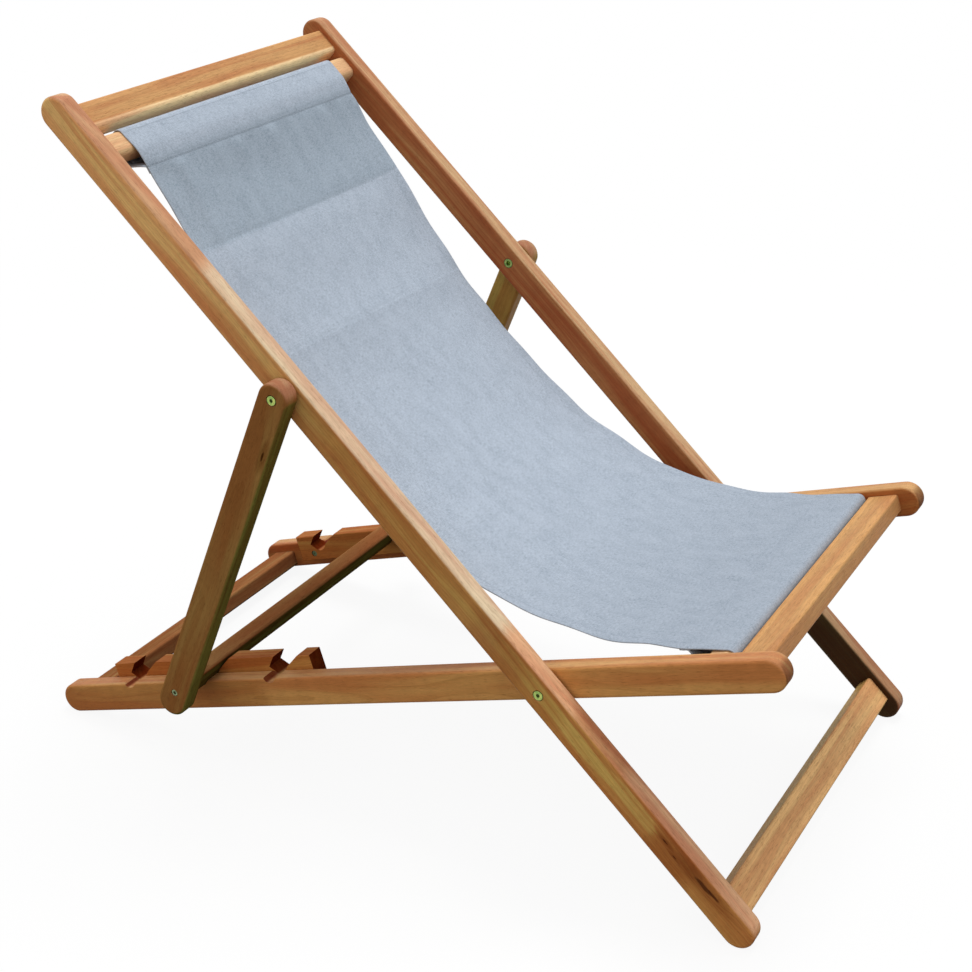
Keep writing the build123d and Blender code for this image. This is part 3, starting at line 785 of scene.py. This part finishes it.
stops = [0, front_seam_length, *fold_lines, top_seam_length, cloth_length]
paces = [pocket_step, hang_step, hang_step, hang_step, pocket_step]
spans = [np.linspace(a, b, int((b - a) / pace), endpoint=False) for a, b, pace in zip(stops, stops[1:], paces)]
lengthwise = np.concatenate([*spans, [cloth_length]])
flat_half = cloth_half_width - fold_radius - cloth_thickness / 2
face_count, turn_count, under_count = 73, 6, 5
face_columns = np.linspace(-flat_half, flat_half, face_count)
turn_angles = np.linspace(0, pi, turn_count)[1:]
under_columns = np.linspace(flat_half, flat_half - hem_turn, under_count)[1:]
turn_x = flat_half + fold_radius * np.sin(turn_angles)
turn_depth = fold_radius * (1 - np.cos(turn_angles))
side_x = np.concatenate([turn_x, under_columns])
side_depth = np.concatenate([turn_depth, np.full(len(under_columns), layer_step)])
side_cut = flat_half + np.concatenate([turn_angles * fold_radius, pi * fold_radius + flat_half - under_columns])
cut_x = np.concatenate([-side_x[::-1], face_columns, side_x])
cut_depth = np.concatenate([side_depth[::-1], np.zeros(len(face_columns)), side_depth]) + cloth_thickness / 2
cut_place = np.concatenate([-side_cut[::-1], face_columns, side_cut])
grid_s, grid_x = np.meshgrid(lengthwise, cut_x, indexing="ij")
grid_s = skewed(grid_x, grid_s)
grid_depth = np.broadcast_to(cut_depth, grid_s.shape)
grid_cut = np.broadcast_to(cut_place, grid_s.shape)
sling = surface("sling_cloth", on_cloth(grid_x, grid_s, grid_depth), np.stack([grid_cut, grid_s], axis=-1))
wall = sling.modifiers.new("weave_thickness", "SOLIDIFY")
wall.thickness = cloth_thickness
wall.offset = 0.0

yarn = 0.85
yarn_shade_length, yarn_shade_step = 34.0, 0.71
slub_length, slub_width = 4.5, 1.1
blotch_width, blotch_length = 16.0, 30.0
weave_depth = 0.00025
blue_yarn = (0.335, 0.400, 0.482, 1.0)
pale_yarn = (0.565, 0.640, 0.745, 1.0)
head_panel_tones = (0.87, 0.78)
# How dark painted shade makes the cloth at the front seam and by the upper fold, and how far it reaches
seat_end_shade, seat_end_reach = 0.79, 420.0
upper_back_shade, upper_back_reach = 0.95, 230.0
panel_tint = (0.965, 1.0, 1.005, 1.0)
yarn_tones = (0.88, 1.77)
# An old fold's painted highlight on its crest, the painted shade beside it, and the painted shade along each
# stitched row, with their strengths
crest_fade, crest_highlight = (2.2, 0.4), 0.04
beside_set, beside_fade, beside_shade = 4.0, (4.0, 1.0), 0.03
row_fade, front_row_shade, top_row_shade = (1.5, 0.4), 0.01, 0.26


def canvas():
    """Plain weave: warp and weft yarns, each humped by a sine, pass over each other by turns. Each yarn has its own
    shade, with slubs along it, so the cloth looks flecked; painted shade darkens the cloth toward the front seam
    and the upper fold and in the hollows of the weave; the panel by the head has its own tone; each old fold has a
    painted highlight on its crest and painted shade beside it, and each stitched row a line of painted shade."""
    cloth = Finish("sling_canvas", Sheen_Weight=0.05, Sheen_Roughness=0.5, IOR=1.45, Specular_IOR_Level=0.1)
    cut = cloth.node("ShaderNodeSeparateXYZ", None, {0: cloth.node("ShaderNodeUVMap", {"uv_map": "cut"})})
    x, s = cut * millimetres, cut.other("Y") * millimetres
    warp, weft = x / yarn, s / yarn
    warp_hump = (warp * pi).math("SINE").size()
    weft_hump = (weft * pi).math("SINE").size()
    over = ((warp.math("FLOOR") + weft.math("FLOOR")) * 0.5).math("FRACT") * 2.0
    warp_shade = cloth.cloud(warp.math("FLOOR") * yarn_shade_step, s / yarn_shade_length, 3.0, 2.0)
    weft_shade = cloth.cloud(x / yarn_shade_length, weft.math("FLOOR") * yarn_shade_step, 9.0, 2.0)
    shade = over * warp_shade + (1.0 - over) * weft_shade
    slub = cloth.cloud(x / slub_length, s / slub_width, 5.0, 1.0)
    slub = slub + cloth.cloud(x / slub_width, s / slub_length, 7.0, 1.0)
    blotch = cloth.cloud(x / blotch_width, s / blotch_length, 1.0, 3.0, 0.5)
    height = over * warp_hump * (0.55 + 0.45 * weft_hump) + (1.0 - over) * weft_hump * (0.55 + 0.45 * warp_hump)
    tone = shade * 0.6 + slub * 0.9 + blotch * 0.45
    colour = cloth.mix(tone.ramp(*yarn_tones), blue_yarn, pale_yarn)
    # Painted shade in the hollows of the weave.
    painted_light = 0.80 + height.ramp(0.0, 0.5) * 0.20
    places = (front_seam_length, fold_lines[1], top_seam_length)
    seat_end, fold, seam = (float(place * millimetres) for place in places)
    # Painted shade: darker toward the front seam and toward the upper fold.
    painted_cloth_shade = s.ramp(seat_end, seat_end + seat_end_reach, seat_end_shade, 1.0)
    painted_cloth_shade = painted_cloth_shade * s.ramp(fold - upper_back_reach, fold, 1.0, upper_back_shade)
    in_panel = s.ramp(fold - 3.0, fold + 3.0) * s.ramp(seam + 16.0, seam - 3.0)
    colour = cloth.mix(in_panel, colour, panel_tint, "MULTIPLY")
    painted_light = painted_light * painted_cloth_shade * (1.0 + in_panel * (s.ramp(fold, seam, *head_panel_tones) / upper_back_shade - 1.0))
    # Each old fold: a painted highlight on its crest and painted shade beside it.
    for line, (share, skew, ridge, reach) in zip(fold_lines, folds):
        past = s - float(line * millimetres) - x * float(skew / cloth_half_width)
        painted_light = painted_light * (1.0 + past.size().ramp(*crest_fade) * crest_highlight)
        painted_light = painted_light * (1.0 - (past - beside_set).size().ramp(*beside_fade) * beside_shade)
    # Painted shade along each stitched row.
    for row, dark in ((seat_end, front_row_shade), (seam, top_row_shade)):
        painted_light = painted_light * (1.0 - (s - row).size().ramp(*row_fade) * dark)
    rise = height * 0.8 + slub * 0.3
    cloth.show(Base_Color=cloth.shade(colour, painted_light), Roughness=0.78 + slub * 0.06)
    cloth.show(Normal=cloth.relief(rise, weave_depth, 0.6))
    return cloth.material


sling.data.materials.append(canvas())
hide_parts("sling")

# Stitching of the sling: lockstitch in blue-grey thread. One row closes the front pocket, two run across the top
# one, and one runs along each side hem.
stitch_length = 0.0027
stitch_pitch = 0.0033
thread_radius = 0.00026
thread_sides = 6
stitch_bow = 0.00012
stitch_places = np.array([-1.0, -0.82, 0.0, 0.82, 1.0])
stitch_girths = np.array([0.35, 0.85, 1.0, 0.85, 0.35])
twist_shade, ply_width, ply_depth = 2.0, 0.12, 0.00008
thread_dark = (0.36, 0.42, 0.50, 1.0)
thread_pale = (0.50, 0.57, 0.66, 1.0)


def row_marks(start, end):
    """Middles of the stitches of a row, one pitch apart, from one pitch inside its start."""
    return np.arange(start + stitch_pitch, end - stitch_pitch, stitch_pitch)


def stitches(name, x, s, lengthways):
    """A row of stitches: each one a short bead with narrow ends, lying on the cloth and bowed a little up. Rings of
    points round its core follow the cloth's own normal, and the last ring at each end is closed."""
    girth = stitch_girths * thread_radius
    turn = np.linspace(0, 2 * pi, thread_sides, endpoint=False)
    step = stitch_places * stitch_length / 2
    ring_x = x[:, None] + (0 if lengthways else step)
    ring_s = s[:, None] + (step if lengthways else 0)
    ring_x, ring_s = np.broadcast_arrays(ring_x, ring_s)
    bow = stitch_bow * (1 - stitch_places**2)
    core = on_cloth(ring_x, ring_s, np.broadcast_to(-bow, ring_x.shape))
    lifted = on_cloth(ring_x, ring_s, np.broadcast_to(-bow - thread_radius, ring_x.shape))
    up = (lifted - core) / thread_radius
    along = np.gradient(core, axis=1)
    along /= np.linalg.norm(along, axis=2)[..., None]
    aside = np.cross(along, up)
    rings = core[:, :, None] + girth[None, :, None, None] * (
        np.cos(turn)[:, None] * up[:, :, None] + np.sin(turn)[:, None] * aside[:, :, None]
    )
    grid = np.arange(rings[..., 0].size).reshape(rings.shape[:3])
    quads = patches(np.concatenate([grid, grid[:, :, :1]], axis=2)).reshape(-1, 4)
    caps = np.concatenate([grid[:, 0, ::-1], grid[:, -1]])
    return smooth_piece(name, rings, [*quads.tolist(), *caps.tolist()])


def thread():
    """Twisted polyester thread, in two shades that change from stitch to stitch."""
    twist = Finish("stitching_thread", Roughness=0.6, IOR=1.45)
    x, y, z = twist.lengths((0.0, 0.0, 0.0), *np.eye(3))
    shade = twist.cloud(x / twist_shade, y / twist_shade, z / twist_shade, 2.0)
    ply = twist.cloud(x / ply_width, y / ply_width, z / ply_width, 1.0)
    twist.show(Base_Color=twist.mix(shade.ramp(0.3, 0.7), thread_dark, thread_pale))
    twist.show(Normal=twist.relief(ply, ply_depth, 0.6))
    return twist.material


row_start = 0.004
top_band_length = top_seam_length + np.linalg.norm(top_near - top_seam) + 2 * pocket_half - pocket_ease
hem_row_x = cloth_half_width - hem_row_set
seam_x = row_marks(-cloth_half_width, cloth_half_width)
hem_s = row_marks(front_seam_length + row_start, top_seam_length - row_start)
rows = [
    stitches("front_seam_stitches", seam_x, np.full(len(seam_x), front_seam_length), False),
    stitches("top_seam_stitches", seam_x, np.full(len(seam_x), top_seam_length), False),
    stitches("top_band_stitches", seam_x, np.full(len(seam_x), top_band_length), False),
    stitches("side_hem_stitches_left", np.full(len(hem_s), hem_row_x), hem_s, True),
    stitches("side_hem_stitches_right", np.full(len(hem_s), -hem_row_x), hem_s, True),
]
thread_material = thread()
for row in rows:
    row.data.materials.append(thread_material)
# Two places where the cloth and its rows pass from the seat frame to the back frame, each given along and above the
# seat rail, from the seat pivot
bend_places = ((-0.158, 0.111), (0.333, 0.108))
bend_start, bend_end = (seat_pivot + along * seat_run + above * seat_rise for along, above in bend_places)
for piece in (sling, *rows):
    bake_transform(piece)

# Studio: a pale floor that runs out of sight and goes to white away from the chair, an even sky, and one large
# soft lamp over the chair. The camera stands at the chair's front right, a little above it.
floor_half = 40.0
floor_seen = (0.97, 0.97, 0.97, 1.0)
floor_lit = (0.15, 0.15, 0.13, 1.0)
white_start, white_full, white_share = 0.4, 2.4, 0.91
sky_strength = 0.75
lamp_place = (2.2, 0.2, 7.5)
lamp_size = 3.2
lamp_power = 250.0
camera_place = (-1.71932, -0.96823, 1.25183)
camera_angles = (66.9387, 0.7279, -60.4342)
camera_lens = 65.795
camera_shift = (0.02535, -0.06372)


def seen_rays(nodes):
    """1 for what the camera sees, also in a mirror or through glass, and 0 for light that only bounces."""
    rays = nodes.node("ShaderNodeLightPath")
    return rays.math("MAXIMUM", rays.other("Is Glossy Ray")).math("MAXIMUM", rays.other("Is Transmission Ray"))


floor_corners = np.array([[[-1, -1, 0], [1, -1, 0]], [[-1, 1, 0], [1, 1, 0]]]) * floor_half
floor = surface("studio_floor", floor_corners.astype(float))
paper = Finish("floor_paper", Roughness=1.0, Specular_IOR_Level=0.0)
seen = seen_rays(paper)
paper.show(Base_Color=paper.mix(seen, floor_lit, floor_seen))
place = paper.node("ShaderNodeTexCoord", output="Object")
away = paper.node("ShaderNodeVectorMath", {"operation": "LENGTH"}, {0: place}, "Value")
white = paper.node("ShaderNodeEmission", None, {"Color": (1.0, 1.0, 1.0, 1.0), "Strength": 1.0})
lit = Socket(paper, paper.shader.outputs[0])
whitened = seen * away.ramp(white_start, white_full, white_share, 1.0)
shown = paper.node("ShaderNodeMixShader", None, {0: whitened, 1: lit, 2: white})
paper.feed(paper.tree.nodes["Material Output"].inputs["Surface"], shown)
floor.data.materials.append(paper.material)

world = bpy.data.worlds.new("studio_sky")
world.use_nodes = True
bpy.context.scene.world = world
sky = Nodes(world.node_tree, "Background")
sky.show(Color=(1.0, 1.0, 1.0, 1.0), Strength=seen_rays(sky).ramp(0.0, 1.0, sky_strength, 1.0))

light = bpy.data.lights.new("overhead_softbox", "AREA")
light.shape = "DISK"
light.size = lamp_size
light.energy = lamp_power
lamp = bpy.data.objects.new("overhead_softbox", light)
bpy.context.scene.collection.objects.link(lamp)
lamp.location = lamp_place
lamp.rotation_euler = (-Vector(lamp_place)).to_track_quat("-Z", "Y").to_euler()

camera_data = bpy.data.cameras.new("camera")
camera = bpy.data.objects.new("camera", camera_data)
bpy.context.scene.collection.objects.link(camera)
bpy.context.scene.camera = camera
camera.location = camera_place
camera.rotation_euler = [radians(angle) for angle in camera_angles]
camera_data.sensor_width = 36.0
camera_data.lens = camera_lens
camera_data.shift_x, camera_data.shift_y = camera_shift

bpy.context.scene.view_settings.view_transform = "Standard"
